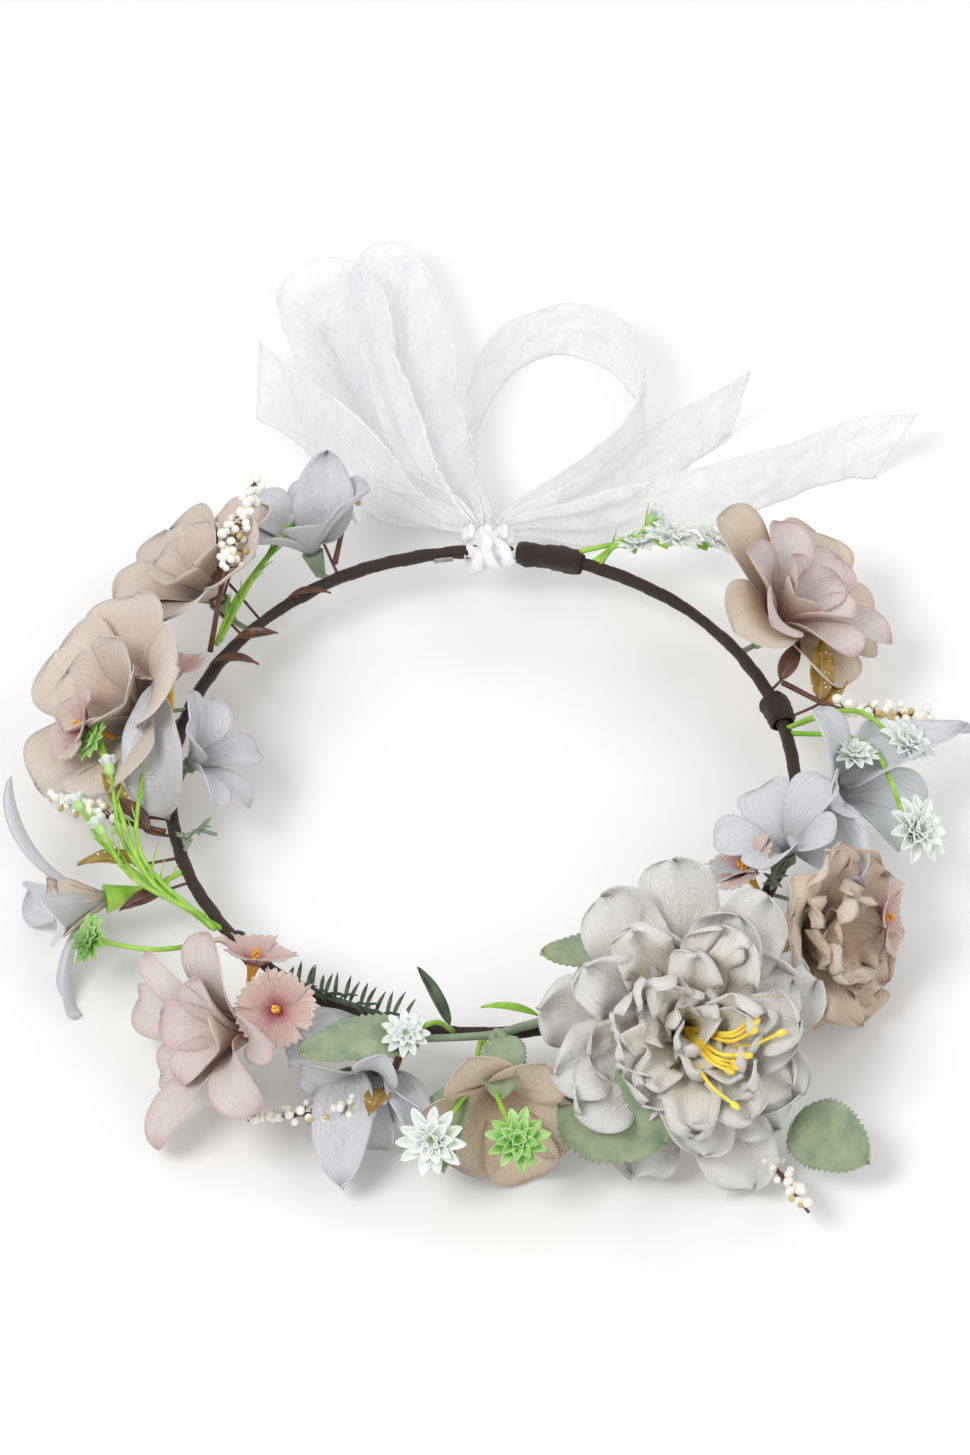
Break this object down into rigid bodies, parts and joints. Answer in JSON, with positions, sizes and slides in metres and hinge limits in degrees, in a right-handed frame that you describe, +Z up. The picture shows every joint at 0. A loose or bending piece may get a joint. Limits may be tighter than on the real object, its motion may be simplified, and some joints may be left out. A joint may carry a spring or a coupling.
{
  "type": "flower crown",
  "caption": "Taped wire hoop worn round the head, covered with fabric flowers, flocked leaves, bead sprigs and small stars, closed at the back by a sheer ribbon bow.",
  "frame": {"origin": "centre of the taped hoop, in the plane of its centreline", "axes": "+Z up out of the hoop's plane as the crown lies on a table or sits on a level head, +Y to the back where the ribbon is tied, +X to the side of the large pale flower"},
  "size_m": [0.2856, 0.3795, 0.077],
  "materials": {
    "bare_wire": "satin",
    "floral_tape": "matt crepe",
    "organza": "sheer",
    "green_stem": "matt",
    "lime_plastic": "satin",
    "star_plastic": "satin",
    "pearl_beads": "pearl",
    "orange_plastic": "matt",
    "stamen_yellow": "matt",
    "gold_leaf": "satin",
    "brown_leaf": "satin",
    "dark_green_plastic": "matt",
    "flocked_leaf": "flocked",
    "cream_fabric": "matt",
    "blush_fabric": "matt",
    "beige_fabric": "matt",
    "grey_white_fabric": "satin",
    "pink_fabric": "matt"
  },
  "bodies": {
    "crown": {"back_grey_petals": "grey_white_fabric", "back_grey_stem": "green_stem", "back_left_blush_petals": "blush_fabric", "back_left_blush_stem": "green_stem", "bead_sprigs": "pearl_beads", "brown_leaves": "brown_leaf", "carnation_inner_petals": "beige_fabric", "carnation_outer_petals": "beige_fabric", "carnation_stem": "green_stem", "core_wire": "bare_wire", "flocked_leaves": "flocked_leaf", "front_blush_petals": "beige_fabric", "front_blush_stem": "green_stem", "front_grey_petals": "grey_white_fabric", "front_grey_stem": "green_stem", "gold_leaves": "gold_leaf", "inner_left_petals": "grey_white_fabric", "inner_left_stem": "green_stem", "inner_right_petals": "grey_white_fabric", "inner_right_stem": "green_stem", "left_blush_inner_petals": "blush_fabric", "left_blush_outer_petals": "blush_fabric", "left_blush_stem": "green_stem", "left_magnolia_inner_petals": "blush_fabric", "left_magnolia_outer_petals": "blush_fabric", "left_magnolia_stem": "green_stem", "left_trumpet_petals": "grey_white_fabric", "left_trumpet_stem": "green_stem", "lime_stems": "lime_plastic", "peony_inner_petals": "cream_fabric", "peony_middle_petals": "cream_fabric", "peony_outer_petals": "cream_fabric", "peony_stamens": "stamen_yellow", "peony_stem": "green_stem", "pink_blossom_petals": "pink_fabric", "pink_blossom_tubes": "orange_plastic", "ribbon_wrap": "organza", "right_lily_petals": "grey_white_fabric", "right_lily_stem": "green_stem", "right_magnolia_inner_petals": "blush_fabric", "right_magnolia_outer_petals": "blush_fabric", "right_magnolia_stem": "green_stem", "rosemary_sprig": "dark_green_plastic", "star_flowers": "star_plastic", "tape_sleeve_back": "floral_tape", "tape_sleeve_front": "floral_tape", "tape_sleeve_left": "floral_tape", "tape_sleeve_right": "floral_tape", "tape_wrap_front_left": "floral_tape", "tape_wrap_joint": "floral_tape", "tape_wrap_right": "floral_tape", "thin_sprigs": "dark_green_plastic", "wire_end": "bare_wire"},
    "bow": {"ribbon_knot": "organza", "ribbon_left_loop_inner": "organza", "ribbon_left_loop_outer": "organza", "ribbon_left_tail": "organza", "ribbon_right_loop": "organza", "ribbon_right_tail_lower": "organza", "ribbon_right_tail_upper": "organza"}
  },
  "joints": [
    {"name": "bow_swing", "type": "hinge", "parent": "crown", "child": "bow", "pos_m": [0.002, 0.0948, 0], "axis": [1, 0, 0], "range_deg": [-85, 70]}
  ]
}
